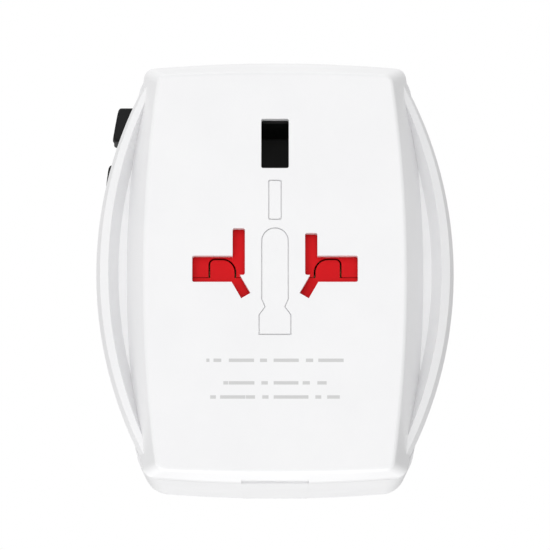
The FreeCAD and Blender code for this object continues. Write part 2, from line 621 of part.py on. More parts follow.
def carriage_depth():
    return ("slide_front", "slide_front + slide_thick")


def stem(knob_z, inner_x):
    """The bar from a carriage out through the housing's slot into its knob."""
    depth = ("slide_front + 0.2", "slide_front + slide_thick - 0.2")
    return box((f"-{rear_half(knob_z)} - 1.6", inner_x), depth, (f"{knob_z} - stem_half", f"{knob_z} + stem_half"))


def make_knob(name, z):
    """A thumb block outside the housing wall, seated over the end of the stem."""
    low, high = f"{z} + knob_rise - knob_half", f"{z} + knob_rise + knob_half"
    inner = f"-{rear_half(f'({low})')} - gap"
    outer = f"-(knob_mid - ({z} + knob_rise - body_height / 2) ^ 2 / (2 * knob_arc))"
    block = box((outer, inner), ("knob_front", "knob_front + knob_long"), (low, high))
    smooth = rounded(block, "0.6", lambda edge: edge.BoundBox.XMax < value(outer) + 0.01)
    return cut(smooth, [stem(z, f"-{rear_half(z)}")], name)


def make_uk_carriage():
    depth = carriage_depth()
    pieces = [box(("-uk_bar_half", "uk_bar_half"), depth, ("uk_z - uk_bar_tall / 2", "uk_z + uk_bar_tall / 2")),
              box(("-uk_spine_half", "uk_spine_half"), depth, ("uk_z", "uk_knob_z + stem_half - 0.1")),
              stem("uk_knob_z", "0")]
    sockets = [box((f"{x} - uk_core_wide / 2", f"{x} + uk_core_wide / 2"),
                   ("slide_front + socket_start", "slide_front + slide_thick + 1"),
                   ("uk_z - uk_core_tall / 2", "uk_z + uk_core_tall / 2")) for x in ("-uk_pitch", "uk_pitch")]
    sockets.append(box(("-1.4", "1.4"), ("slide_front + socket_start", "slide_front + slide_thick + 1"),
                       ("uk_earth_z - 2.5", "uk_earth_z + 2.5")))
    return cut(fuse(pieces), sockets, "uk_carriage")


def make_uk_pins():
    pins = []
    for x in ("-uk_pitch", "uk_pitch"):
        sleeve_end = "slide_front + slide_thick + uk_sleeve"
        core = box((f"{x} - uk_core_wide / 2", f"{x} + uk_core_wide / 2"), ("slide_front + socket_start", sleeve_end),
                   ("uk_z - uk_core_tall / 2", "uk_z + uk_core_tall / 2"))
        tip = box((f"{x} - uk_wide / 2", f"{x} + uk_wide / 2"),
                  (sleeve_end, "slide_front + slide_thick + uk_long"), ("uk_z - uk_tall / 2", "uk_z + uk_tall / 2"))
        pins.append(fuse([core, rounded(tip, "0.7", at_depth("slide_front + slide_thick + uk_long", 0))]))
    return group(pins, "uk_pins")


def make_uk_sleeves():
    sleeves = []
    for x in ("-uk_pitch", "uk_pitch"):
        depth = ("slide_front + slide_thick", "slide_front + slide_thick + uk_sleeve")
        outer = box((f"{x} - uk_wide / 2", f"{x} + uk_wide / 2"), depth, ("uk_z - uk_tall / 2", "uk_z + uk_tall / 2"))
        core = box((f"{x} - uk_core_wide / 2", f"{x} + uk_core_wide / 2"), depth,
                   ("uk_z - uk_core_tall / 2", "uk_z + uk_core_tall / 2"))
        sleeves.append(cut(outer, [core]))
    return group(sleeves, "uk_pin_sleeves")


def make_uk_earth():
    end = "slide_front + slide_thick + uk_earth_long"
    blade = box(("-uk_tall / 2", "uk_tall / 2"), ("slide_front + slide_thick", end),
                ("uk_earth_z - uk_earth_tall / 2", "uk_earth_z + uk_earth_tall / 2"))
    tang = box(("-1.4", "1.4"), ("slide_front + socket_start", "slide_front + slide_thick"),
               ("uk_earth_z - 2.5", "uk_earth_z + 2.5"))
    return fuse([tang, rounded(blade, "0.7", at_depth(end, 0))], "uk_earth_pin")


def make_euro_carriage():
    depth = carriage_depth()
    low = "euro_z - euro_bar_tall / 2"
    pieces = [box(("-euro_arm_out", "euro_bar_right"), depth, (low, "euro_z + euro_bar_tall / 2")),
              box(("-euro_arm_out", "-euro_arm_in"), depth, (low, "euro_knob_z + stem_half")),
              stem("euro_knob_z", "-euro_arm_in")]
    sockets = [rod(x, ("slide_front + socket_start", "slide_front + slide_thick + 1"), "euro_z", "euro_core")
               for x in ("-euro_pitch", "euro_pitch")]
    return cut(fuse(pieces), sockets, "euro_carriage")


def make_euro_pins():
    pins = []
    for x in ("-euro_pitch", "euro_pitch"):
        sleeve_end = "slide_front + slide_thick + euro_sleeve"
        end = "slide_front + slide_thick + euro_long"
        core = rod(x, ("slide_front + socket_start", sleeve_end), "euro_z", "euro_core")
        tip = rod(x, (sleeve_end, end), "euro_z", "euro_radius")
        pins.append(fuse([core, rounded(tip, "1.4", at_depth(end, 0))]))
    return group(pins, "euro_pins")


def make_euro_sleeves():
    depth = ("slide_front + slide_thick", "slide_front + slide_thick + euro_sleeve")
    return group([cut(rod(x, depth, "euro_z", "euro_sleeve_radius"), [rod(x, depth, "euro_z", "euro_core")])
                  for x in ("-euro_pitch", "euro_pitch")], "euro_pin_sleeves")


def make_us_carriage():
    depth = carriage_depth()
    low = "us_z - us_bar_tall / 2"
    pieces = [box(("-us_arm_out", "us_bar_right"), depth, (low, "us_z + us_bar_tall / 2")),
              box(("-us_arm_out", "-us_arm_in"), depth, (low, "us_knob_z + stem_half")),
              stem("us_knob_z", "-us_arm_in")]
    journals = [rod(x, ("slide_front - 1", "slide_front + slide_thick + 1"), "us_z", "journal_radius + running")
                for x in ("-us_pitch", "us_pitch")]
    return cut(fuse(pieces), journals, "us_carriage")


def make_us_turret(name, x):
    back = "slide_front + slide_thick"
    disc = rod(x, (f"{back} + 0.1", f"{back} + turret_thick"), "us_z", "turret_radius")
    journal = rod(x, ("slide_front + 0.2", f"{back} + 0.1"), "us_z", "journal_radius")
    seat = box((f"{x} - us_thick / 2", f"{x} + us_thick / 2"), (f"{back} + 0.4", f"{back} + turret_thick + 1"),
               ("us_z - us_wide / 2", "us_z + us_wide / 2"))
    return cut(fuse([disc, journal]), [seat], name)


def make_us_blade(name, x):
    back = "slide_front + slide_thick"
    end = f"{back} + turret_thick + us_long"
    blade = box((f"{x} - us_thick / 2", f"{x} + us_thick / 2"), (f"{back} + 0.4", end),
                ("us_z - us_wide / 2", "us_z + us_wide / 2"))
    smooth = rounded(blade, "0.5", at_depth(end, 0))
    smooth.Label = name
    return smooth


def wipers(name, places):
    """Small sprung contacts on a carriage that run along the busbars' fingers."""
    depth = ("slide_front + 0.6", "slide_front + slide_thick - 0.6")
    return group([box(x, depth, z) for x, z in places], name)


# ---- the assembly ----

neutral_tab = box(("-tab_out", "-tab_in"), ("tunnel_back", "bar_front"), ("line_height - 1", "line_height + 1"))
live_tab = box(("leaf_out", "bar_out"), ("tab_front", "tab_back"),
               ("line_height - tab_foot", "line_height - tab_head"))
neutral_link = box(("-bar_in", "-tab_in"), ("bar_front", "bar_back"), ("line_height - 1", "line_height + 1"))
live_link = box(("bar_out - 0.7", "bar_out"), ("bar_front", "bar_back"), ("line_height + 5", "line_height + 9"))
uk_wiper_z = ("uk_z - 1", "uk_z + 1")
euro_wiper_z = ("euro_z + euro_bar_tall / 2", "euro_z + euro_bar_tall / 2 + 0.4")
us_wiper_z = ("us_z + us_bar_tall / 2", "us_z + us_bar_tall / 2 + 0.3")

parts = {
    "front_cover": make_front_cover(),
    "rear_housing": make_rear_housing(),
    "contact_carrier": make_contact_carrier(),
    "live_contact": make_contact("live_contact", "", live_tab),
    "neutral_contact": make_contact("neutral_contact", "-", neutral_tab),
    "live_busbar": make_busbar("live_busbar", "", [live_link]),
    "neutral_busbar": make_busbar("neutral_busbar", "-", [neutral_link]),
    "fuse_tube": make_fuse_tube(),
    "fuse_end_caps": make_fuse_caps(),
    "fuse_clips": make_fuse_clips(),
    "housing_screws": make_screws(),
    "detent_springs": make_detents(),
    "upper_shutter": make_upper_shutter(),
    "lower_shutter": make_lower_shutter(),
    "upper_shutter_springs": shutter_springs(
        "upper_shutter_springs", ("line_height + shutter_top", "line_height + shutter_top + spring_reach")),
    "lower_shutter_springs": shutter_springs(
        "lower_shutter_springs", ("line_height - shutter_foot - spring_reach", "line_height - shutter_foot")),
    "uk_carriage": make_uk_carriage(),
    "uk_knob": make_knob("uk_knob", "uk_knob_z"),
    "uk_pins": make_uk_pins(),
    "uk_pin_sleeves": make_uk_sleeves(),
    "uk_earth_pin": make_uk_earth(),
    "uk_wipers": wipers("uk_wipers", [(("-uk_bar_half - 0.3", "-uk_bar_half"), uk_wiper_z),
                                      (("uk_bar_half", "uk_bar_half + 0.3"), uk_wiper_z)]),
    "euro_carriage": make_euro_carriage(),
    "euro_knob": make_knob("euro_knob", "euro_knob_z"),
    "euro_pins": make_euro_pins(),
    "euro_pin_sleeves": make_euro_sleeves(),
    "euro_wipers": wipers("euro_wipers", [(("-euro_finger_out + 1", "-euro_finger_in - 1"), euro_wiper_z),
                                          (("euro_finger_in + 1", "euro_finger_out - 1"), euro_wiper_z)]),
    "us_carriage": make_us_carriage(),
    "us_knob": make_knob("us_knob", "us_knob_z"),
    "us_wipers": wipers("us_wipers", [(("-us_finger_out + 1", "-us_finger_in - 1"), us_wiper_z),
                                      (("us_finger_in + 1", "us_finger_out - 1"), us_wiper_z)]),
    "us_turret_left": make_us_turret("us_turret_left", "-us_pitch"),
    "us_turret_right": make_us_turret("us_turret_right", "us_pitch"),
    "us_blade_left": make_us_blade("us_blade_left", "-us_pitch"),
    "us_blade_right": make_us_blade("us_blade_right", "us_pitch"),
}

for name, item in parts.items():
    item.Label = name
doc.recompute()

for item in doc.Objects:
    if "Invalid" in item.State or "Error" in item.State:
        raise RuntimeError(f"{item.Label} failed: {item.State}")

os.makedirs("parts", exist_ok=True)
for name, item in parts.items():
    shape = item.Shape
    if shape.isNull() or not shape.isValid() or not shape.Solids:
        raise RuntimeError(f"{name} has no valid shape")
    shape.exportStep(f"parts/{name}.step")
    limits = shape.BoundBox
    print(f"{name}: {len(shape.Solids)} solids, {shape.Volume:.1f} mm3, x {limits.XMin:.2f} {limits.XMax:.2f}, "
          f"y {limits.YMin:.2f} {limits.YMax:.2f}, z {limits.ZMin:.2f} {limits.ZMax:.2f}")
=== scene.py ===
import bpy
import math
import numpy as np
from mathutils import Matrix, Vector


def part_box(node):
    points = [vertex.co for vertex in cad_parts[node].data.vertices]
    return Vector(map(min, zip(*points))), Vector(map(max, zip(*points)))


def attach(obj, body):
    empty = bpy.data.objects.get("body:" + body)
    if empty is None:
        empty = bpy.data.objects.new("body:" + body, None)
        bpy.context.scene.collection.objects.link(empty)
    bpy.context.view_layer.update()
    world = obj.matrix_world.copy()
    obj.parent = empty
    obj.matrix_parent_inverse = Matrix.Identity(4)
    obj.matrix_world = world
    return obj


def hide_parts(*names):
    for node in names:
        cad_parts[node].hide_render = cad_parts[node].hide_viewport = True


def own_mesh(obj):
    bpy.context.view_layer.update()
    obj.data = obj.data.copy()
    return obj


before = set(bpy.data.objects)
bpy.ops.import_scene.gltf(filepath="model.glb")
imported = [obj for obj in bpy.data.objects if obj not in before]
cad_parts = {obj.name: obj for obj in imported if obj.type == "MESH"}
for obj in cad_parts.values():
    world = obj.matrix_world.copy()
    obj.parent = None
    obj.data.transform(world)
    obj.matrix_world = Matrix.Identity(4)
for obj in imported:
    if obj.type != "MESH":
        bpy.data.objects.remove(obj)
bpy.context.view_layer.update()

def newGroup(name, inputs, outputs):
    group = bpy.data.node_groups.new(name, "ShaderNodeTree")
    for way, sockets in (("INPUT", inputs), ("OUTPUT", outputs)):
        for label, kind in sockets:
            group.interface.new_socket(label, in_out=way, socket_type=kind)
    return group, group.nodes.new("NodeGroupInput"), group.nodes.new("NodeGroupOutput")


def mathNode(nodes, links, operation, first, second=None, clamp=False):
    node = nodes.new("ShaderNodeMath")
    node.operation = operation
    node.use_clamp = clamp
    for index, item in enumerate((first, second)):
        if isinstance(item, (int, float)):
            node.inputs[index].default_value = item
        elif item is not None:
            links.new(item, node.inputs[index])
    return node.outputs[0]


def noiseNode(nodes, links, vector, scale, detail=3.0, rough=0.55):
    node = nodes.new("ShaderNodeTexNoise")
    node.inputs["Detail"].default_value = detail
    node.inputs["Roughness"].default_value = rough
    links.new(vector, node.inputs["Vector"])
    if isinstance(scale, (int, float)):
        node.inputs["Scale"].default_value = scale
    else:
        links.new(scale, node.inputs["Scale"])
    return node.outputs["Fac"]


grainSettings = {"fineDetail": 2.0, "fineRough": 0.6, "broadScale": 90.0, "broadDetail": 4.0,
                 "smudgeScale": 420.0, "smudgeDetail": 5.0, "smudgeRough": 0.65}

def makeMouldedGrain(settings):
    # Fine spark-eroded texture of a moulding, broad gloss changes, and faint flow of the colour.
    group, given, out = newGroup("mouldedGrain", [
        ("Vector", "NodeSocketVector"), ("Scale", "NodeSocketFloat"), ("Roughness", "NodeSocketFloat"),
        ("Variation", "NodeSocketFloat")],
        [("Height", "NodeSocketFloat"), ("Roughness", "NodeSocketFloat"), ("Tone", "NodeSocketFloat")])
    nodes, links = group.nodes, group.links
    vector = given.outputs["Vector"]
    fine = noiseNode(nodes, links, vector, given.outputs["Scale"], settings["fineDetail"],
                     settings["fineRough"])
    broad = noiseNode(nodes, links, vector, settings["broadScale"], settings["broadDetail"])
    smudge = noiseNode(nodes, links, vector, settings["smudgeScale"], settings["smudgeDetail"],
                       settings["smudgeRough"])
    links.new(fine, out.inputs["Height"])
    swing = mathNode(nodes, links, "SUBTRACT", mathNode(nodes, links, "ADD", broad, smudge), 1.0)
    shift = mathNode(nodes, links, "MULTIPLY", swing, given.outputs["Variation"])
    links.new(mathNode(nodes, links, "ADD", given.outputs["Roughness"], shift, True), out.inputs["Roughness"])
    tone = mathNode(nodes, links, "MULTIPLY", mathNode(nodes, links, "SUBTRACT", broad, 0.5), 2.0)
    links.new(tone, out.inputs["Tone"])
    return group


scratchSettings = {"layers": ((0.5, (60.0, 2400.0, 900.0)), (-0.9, (1900.0, 70.0, 2100.0))), "tilt": 0.2,
                   "roll": 0.3, "crest": 0.69, "sharpness": 9.0}

def makeScratches(settings):
    # Thin scratches in two directions: noise stretched along one axis and cut to its crests.
    # Each layer is (turn about y, scale along each axis).
    group, given, out = newGroup("scratches", [("Vector", "NodeSocketVector"), ("Amount", "NodeSocketFloat")],
                                 [("Mask", "NodeSocketFloat")])
    nodes, links = group.nodes, group.links
    total = None
    for turn, stretch in settings["layers"]:
        place = nodes.new("ShaderNodeMapping")
        place.inputs["Rotation"].default_value = (settings["tilt"], turn, settings["roll"])
        place.inputs["Scale"].default_value = stretch
        links.new(given.outputs["Vector"], place.inputs["Vector"])
        wave = noiseNode(nodes, links, place.outputs["Vector"], 1.0, 1.0)
        crest = mathNode(nodes, links, "SUBTRACT", wave, settings["crest"], True)
        thin = mathNode(nodes, links, "MULTIPLY", crest, settings["sharpness"], True)
        total = thin if total is None else mathNode(nodes, links, "MAXIMUM", total, thin)
    links.new(mathNode(nodes, links, "MULTIPLY", total, given.outputs["Amount"]), out.inputs["Mask"])
    return group


dashSettings = {"rows": [(0.0209, 0.0242), (0.0169, 0.0182), (0.0144, 0.0228)], "tall": 0.0006,
                "faceDepth": -0.02495, "fastRate": 2350.0, "fastStep": 170.0, "slowRate": 830.0,
                "slowStep": -90.0, "cut": -0.75}

def makePrintedDashes(settings):
    # Rows of short plain dashes on the socket face, as a mask: 1 inside a dash.
    # Each row is (height above the base, width). Two sine waves along x, whose rates change from row to row,
    # are added, and the dashes are where their sum is over the cut.
    group, given, out = newGroup("printedDashes", [("Vector", "NodeSocketVector")],
                                 [("Mask", "NodeSocketFloat")])
    nodes, links = group.nodes, group.links
    split = nodes.new("ShaderNodeSeparateXYZ")
    links.new(given.outputs["Vector"], split.inputs[0])
    x, depth, z = split.outputs
    onFace = mathNode(nodes, links, "LESS_THAN", depth, settings["faceDepth"])
    total = None
    for index, (height, width) in enumerate(settings["rows"]):
        near = mathNode(nodes, links, "ABSOLUTE", mathNode(nodes, links, "SUBTRACT", z, height))
        inRow = mathNode(nodes, links, "LESS_THAN", near, settings["tall"] / 2)
        inWidth = mathNode(nodes, links, "LESS_THAN", mathNode(nodes, links, "ABSOLUTE", x), width / 2)
        fastRate = settings["fastRate"] + settings["fastStep"] * index
        slowRate = settings["slowRate"] + settings["slowStep"] * index
        fast = mathNode(nodes, links, "SINE", mathNode(nodes, links, "MULTIPLY", x, fastRate))
        slow = mathNode(nodes, links, "SINE", mathNode(nodes, links, "MULTIPLY", x, slowRate))
        both = mathNode(nodes, links, "ADD", fast, slow)
        dash = mathNode(nodes, links, "GREATER_THAN", both, settings["cut"])
        row = mathNode(nodes, links, "MULTIPLY", mathNode(nodes, links, "MULTIPLY", inRow, inWidth), dash)
        total = row if total is None else mathNode(nodes, links, "MAXIMUM", total, row)
    links.new(mathNode(nodes, links, "MULTIPLY", total, onFace), out.inputs["Mask"])
    return group


grainGroup = makeMouldedGrain(grainSettings)
scratchGroup = makeScratches(scratchSettings)
dashGroup = makePrintedDashes(dashSettings)

def blankMaterial(name):
    material = bpy.data.materials.new(name)
    material.use_nodes = True
    nodes, links = material.node_tree.nodes, material.node_tree.links
    shader = nodes["Principled BSDF"]
    place = nodes.new("ShaderNodeTexCoord")
    return material, nodes, links, shader, place.outputs["Object"]


def addGroup(nodes, links, group, vector, **values):
    node = nodes.new("ShaderNodeGroup")
    node.node_tree = group
    links.new(vector, node.inputs["Vector"])
    for label, value in values.items():
        node.inputs[label].default_value = value
    return node


# The sockets of a Mix node in its colour mode.
mixFactor, mixFirst, mixSecond, mixResult = 0, 6, 7, 2


def colourBetween(nodes, links, first, second, amount):
    # Each end is a colour, or the output of another node.
    mix = nodes.new("ShaderNodeMix")
    mix.data_type = "RGBA"
    for index, end in ((mixFirst, first), (mixSecond, second)):
        if isinstance(end, tuple):
            mix.inputs[index].default_value = (*end, 1.0)
        else:
            links.new(end, mix.inputs[index])
    links.new(amount, mix.inputs[mixFactor])
    return mix.outputs[mixResult]


plasticSettings = {"markRough": 0.25, "markDepth": 0.6, "bumpStrength": 0.25, "coatRough": 0.12, "ior": 1.5}

def mouldedPlastic(name, dark, light, roughness, grainScale, grainDepth, variation, scratch, coat=0.0,
                   ink=None, specular=0.5, settings=plasticSettings):
    # Injection-moulded plastic: two close tones, eroded grain, gloss that changes and faint handling marks.
    material, nodes, links, shader, vector = blankMaterial(name)
    grain = addGroup(nodes, links, grainGroup, vector, Scale=grainScale, Roughness=roughness,
                     Variation=variation)
    marks = addGroup(nodes, links, scratchGroup, vector, Amount=scratch)
    tone = mathNode(nodes, links, "MULTIPLY", grain.outputs["Tone"], 0.5)
    tone = mathNode(nodes, links, "ADD", tone, 0.5, True)
    colour = colourBetween(nodes, links, dark, light, tone)
    if ink:
        dashes = addGroup(nodes, links, dashGroup, vector)
        colour = colourBetween(nodes, links, colour, ink, dashes.outputs["Mask"])
    links.new(colour, shader.inputs["Base Color"])
    rough = mathNode(nodes, links, "MULTIPLY", marks.outputs["Mask"], settings["markRough"])
    rough = mathNode(nodes, links, "ADD", grain.outputs["Roughness"], rough, True)
    links.new(rough, shader.inputs["Roughness"])
    bump = nodes.new("ShaderNodeBump")
    bump.inputs["Strength"].default_value = settings["bumpStrength"]
    bump.inputs["Distance"].default_value = grainDepth
    height = mathNode(nodes, links, "MULTIPLY", marks.outputs["Mask"], settings["markDepth"])
    height = mathNode(nodes, links, "SUBTRACT", grain.outputs["Height"], height)
    links.new(height, bump.inputs["Height"])
    links.new(bump.outputs["Normal"], shader.inputs["Normal"])
    shader.inputs["Coat Weight"].default_value = coat
    shader.inputs["Specular IOR Level"].default_value = specular
    shader.inputs["Coat Roughness"].default_value = settings["coatRough"]
    shader.inputs["IOR"].default_value = settings["ior"]
    return material


metalSettings = {"lineDetail": 4.0, "lineRough": 0.7, "patchScale": 500.0, "patchDetail": 5.0, "wear": 0.8,
                 "lineGloss": 0.16, "wearGloss": 0.2, "glossDrop": 0.08, "bumpStrength": 0.35,
                 "bumpDepth": 2e-6}

def platedMetal(name, dark, light, roughness, stretch, settings=metalSettings):
    # Bright metal with drawn lines along one axis, dull patches and fine wear.
    material, nodes, links, shader, vector = blankMaterial(name)
    place = nodes.new("ShaderNodeMapping")
    place.inputs["Scale"].default_value = stretch
    links.new(vector, place.inputs["Vector"])
    lines = noiseNode(nodes, links, place.outputs["Vector"], 1.0, settings["lineDetail"], settings["lineRough"])
    patches = noiseNode(nodes, links, vector, settings["patchScale"], settings["patchDetail"])
    marks = addGroup(nodes, links, scratchGroup, vector, Amount=settings["wear"])
    links.new(colourBetween(nodes, links, dark, light, patches), shader.inputs["Base Color"])
    rough = mathNode(nodes, links, "ADD", mathNode(nodes, links, "MULTIPLY", lines, settings["lineGloss"]),
                     mathNode(nodes, links, "MULTIPLY", marks.outputs["Mask"], settings["wearGloss"]))
    rough = mathNode(nodes, links, "ADD", rough, roughness - settings["glossDrop"], True)
    links.new(rough, shader.inputs["Roughness"])
    bump = nodes.new("ShaderNodeBump")
    bump.inputs["Strength"].default_value = settings["bumpStrength"]
    bump.inputs["Distance"].default_value = settings["bumpDepth"]
    links.new(lines, bump.inputs["Height"])
    links.new(bump.outputs["Normal"], shader.inputs["Normal"])
    shader.inputs["Metallic"].default_value = 1.0
    return material


shellLook = {"dark": (0.80, 0.80, 0.81), "light": (0.86, 0.86, 0.865), "roughness": 0.34, "grainScale": 7000.0,
             "grainDepth": 1.2e-5, "coat": 0.12, "variation": 0.05, "scratch": 0.10}
finishes = {
    "shell": mouldedPlastic("shellWhite", **shellLook),
    "face": mouldedPlastic("faceWhite", **shellLook, ink=(0.57, 0.57, 0.57)),
    "shutter": mouldedPlastic("shutterRed", (0.69, 0.004, 0.008), (0.76, 0.006, 0.011), roughness=0.5,
                              grainScale=8000.0, grainDepth=8e-6, variation=0.08, scratch=0.4, specular=0.12),
    "inner": mouldedPlastic("innerBlack", (0.008, 0.008, 0.009), (0.014, 0.014, 0.015), roughness=0.5,
                            grainScale=6000.0, grainDepth=1.5e-5, variation=0.1, scratch=0.3),
    "knob": mouldedPlastic("knobBlack", (0.004, 0.004, 0.0045), (0.009, 0.009, 0.0095), roughness=0.5,
                           grainScale=7500.0, grainDepth=1.4e-5, variation=0.1, scratch=0.5, specular=0.16),
    "pin": platedMetal("pinNickel", (0.62, 0.61, 0.58), (0.78, 0.77, 0.74), roughness=0.2,
                       stretch=(3000.0, 120.0, 3000.0)),
    "brass": platedMetal("stampedBrass", (0.55, 0.38, 0.14), (0.74, 0.55, 0.26), roughness=0.3,
                         stretch=(200.0, 2400.0, 2400.0)),
    "steel": platedMetal("zincSteel", (0.42, 0.43, 0.44), (0.6, 0.6, 0.6), roughness=0.32,
                         stretch=(2600.0, 2600.0, 300.0)),
    "spring": platedMetal("springWire", (0.35, 0.36, 0.37), (0.5, 0.5, 0.5), roughness=0.28,
                          stretch=(4000.0, 4000.0, 900.0)),
    "ceramic": mouldedPlastic("fuseCeramic", (0.72, 0.68, 0.58), (0.80, 0.77, 0.68), roughness=0.22,
                              grainScale=3000.0, grainDepth=4e-6, coat=0.6, variation=0.05, scratch=0.1),
}

nodeFinish = {
    "face": ["front_cover"],
    "shell": ["rear_housing"],
    "shutter": ["upper_shutter", "lower_shutter"],
    "inner": ["contact_carrier", "uk_carriage", "euro_carriage", "us_carriage", "uk_pin_sleeves",
              "euro_pin_sleeves", "uk_earth_pin", "us_turret_left", "us_turret_right"],
    "knob": ["uk_knob", "euro_knob", "us_knob"],
    "pin": ["uk_pins", "euro_pins", "us_blade_left", "us_blade_right", "fuse_end_caps"],
    "brass": ["live_contact", "neutral_contact", "live_busbar", "neutral_busbar", "fuse_clips",
              "uk_wipers", "euro_wipers", "us_wipers"],
    "steel": ["housing_screws"],
    "spring": ["detent_springs", "upper_shutter_springs", "lower_shutter_springs"],
    "ceramic": ["fuse_tube"],
}
for finish, names in nodeFinish.items():
    for name in names:
        for slot in bpy.data.objects[name].material_slots:
            slot.material = finishes[finish]
print("stage: finishes on the carried-over pieces")

def gridFaces(rows, columns):
    # Quads between neighbouring points of a grid whose rows are closed rings.
    across = np.arange(columns)
    down = np.arange(rows - 1)[:, None]
    after = (across + 1) % columns
    low, high = down * columns, (down + 1) * columns
    quads = [low + across, low + after, high + after, high + across]
    return np.stack(quads, axis=-1).reshape(-1, 4)


def capFaces(rows, columns):
    # Closes the first and last rows of a tube, each with one many-sided face.
    first = np.arange(columns)[::-1]
    last = (rows - 1) * columns + np.arange(columns)
    return first.tolist(), last.tolist()


def joinShells(shells):
    # Several (points, faces) into one list of points and one of faces.
    allPoints, allFaces, count = [], [], 0
    for points, faces in shells:
        flat = np.asarray(points).reshape(-1, 3)
        allPoints.append(flat)
        allFaces += [[int(index) + count for index in face] for face in faces]
        count += len(flat)
    return np.concatenate(allPoints), allFaces


def mesher(name, shells, material):
    points, faces = joinShells(shells)
    mesh = bpy.data.meshes.new(name)
    mesh.from_pydata(points.tolist(), [], faces)
    mesh.polygons.foreach_set("use_smooth", np.full(len(mesh.polygons), True))
    mesh.materials.append(material)
    mesh.update()
    piece = bpy.data.objects.new(name, mesh)
    bpy.context.scene.collection.objects.link(piece)
    return piece


knobSettings = {"ribs": 5, "ribDepth": 0.00028, "ribReach": 0.93, "corner": 0.22, "rows": 65, "columns": 320,
                "arcRadius": 0.166, "bodyMiddle": 0.03795, "sideGain": 1.6, "sideStart": 0.4, "endFade": 6,
                "ribFade": 12}

def powerWave(wave, exponent):
    return np.sign(wave) * np.abs(wave) ** exponent


def makeKnob(node, body, settings):
    # A rounded block with ribs on its outer side.
    # Formula: a superellipse section in x and y, scaled up its height by a second superellipse, so that all
    # edges are rounded. The outer half is pushed in by a cosine along y, and every section leans with a large
    # arc in z.
    low, high = (np.array(corner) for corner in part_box(node))
    middle, half = (low + high) / 2, (high - low) / 2
    rise = np.linspace(-math.pi / 2, math.pi / 2, settings["rows"])[:, None]
    turn = np.linspace(0, 2 * math.pi, settings["columns"], endpoint=False)[None, :]
    height = powerWave(np.sin(rise), settings["corner"]) + 0 * turn
    width = np.abs(np.cos(rise)) ** settings["corner"]
    x = width * powerWave(np.cos(turn), settings["corner"])
    y = width * powerWave(np.sin(turn), settings["corner"])
    outside = np.clip(-x * settings["sideGain"] - settings["sideStart"], 0, 1)
    outside = outside * np.clip((1 - np.abs(height)) * settings["endFade"], 0, 1)
    rib = 0.5 - 0.5 * np.cos(math.pi * (y + 1) * settings["ribs"])
    rib = rib * np.clip((settings["ribReach"] - np.abs(y)) * settings["ribFade"], 0, 1)
    z = middle[2] + half[2] * height
    lean = (z - settings["bodyMiddle"]) ** 2 - (middle[2] - settings["bodyMiddle"]) ** 2
    lean = lean / (2 * settings["arcRadius"])
    points = np.stack([middle[0] + half[0] * x + lean + settings["ribDepth"] * outside * rib,
                       middle[1] + half[1] * y, z], axis=-1)
    faces = gridFaces(settings["rows"], settings["columns"])
    piece = mesher(f"{node}_grip", [(points, faces)], finishes["knob"])
    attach(piece, body)
    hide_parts(node)


for knobNode, knobBody in (("uk_knob", "uk_plug"), ("euro_knob", "euro_plug"), ("us_knob", "us_plug")):
    makeKnob(knobNode, knobBody, knobSettings)
print("stage: thumb knobs")

springSettings = {"turns": 13, "wire": 0.00021, "steps": 30, "sides": 10, "place": 0.011, "coil": 0.00068,
                  "endClose": 0.055, "travel": 0.0087}

def coilShell(centre, bottom, top, settings):
    # A round wire along a helix: the path turns evenly and its pitch tightens over the first and last turns.
    along = np.linspace(0, 1, settings["turns"] * settings["steps"] + 1)
    angle = 2 * math.pi * settings["turns"] * along
    ease = along - settings["endClose"] * np.sin(2 * math.pi * along) / math.pi
    reach = top - bottom - 2 * settings["wire"]
    path = np.stack([centre[0] + settings["coil"] * np.cos(angle), centre[1] + settings["coil"] * np.sin(angle),
                     bottom + settings["wire"] + reach * ease], axis=-1)
    outwards = np.stack([np.cos(angle), np.sin(angle), 0 * angle], axis=-1)
    side = np.linspace(0, 2 * math.pi, settings["sides"], endpoint=False)
    upwards = np.array([0, 0, 1.0])
    offset = outwards[:, None, :] * np.cos(side)[None, :, None] + upwards * np.sin(side)[None, :, None]
    points = path[:, None, :] + settings["wire"] * offset
    faces = gridFaces(len(along), settings["sides"]).tolist() + list(capFaces(len(along), settings["sides"]))
    return points, faces


def makeSprings(node, settings):
    low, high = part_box(node)
    middleDepth = (low[1] + high[1]) / 2
    shells = [coilShell((side * settings["place"], middleDepth), low[2], high[2], settings) for side in (-1, 1)]
    piece = mesher(node.replace("springs", "coils"), shells, finishes["spring"])
    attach(piece, "housing")
    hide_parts(node)
    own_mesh(piece)


makeSprings("upper_shutter_springs", springSettings)
makeSprings("lower_shutter_springs", springSettings)
print("stage: shutter springs")

screwSettings = {"places": [(-0.017, 0.071), (0.017, 0.071), (-0.020, 0.0066), (0.020, 0.0066)],
                 "headRadius": 0.002, "headTall": 0.0016, "crownRise": 0.0005, "chamfer": 0.0001,
                 "shankRadius": 0.0011, "tipLong": 0.0012, "tipStart": 0.25, "shankRows": 150, "tipRows": 8,
                 "crownRings": 40, "spokes": 72, "threadPitch": 0.0008, "threadDepth": 0.00018,
                 "threadClear": 0.0005, "recess": 0.0009, "crossHalf": 0.00032, "crossReach": 0.00115,
                 "crossSoft": 0.0001, "ringSpread": 0.9, "crownPower": 4}

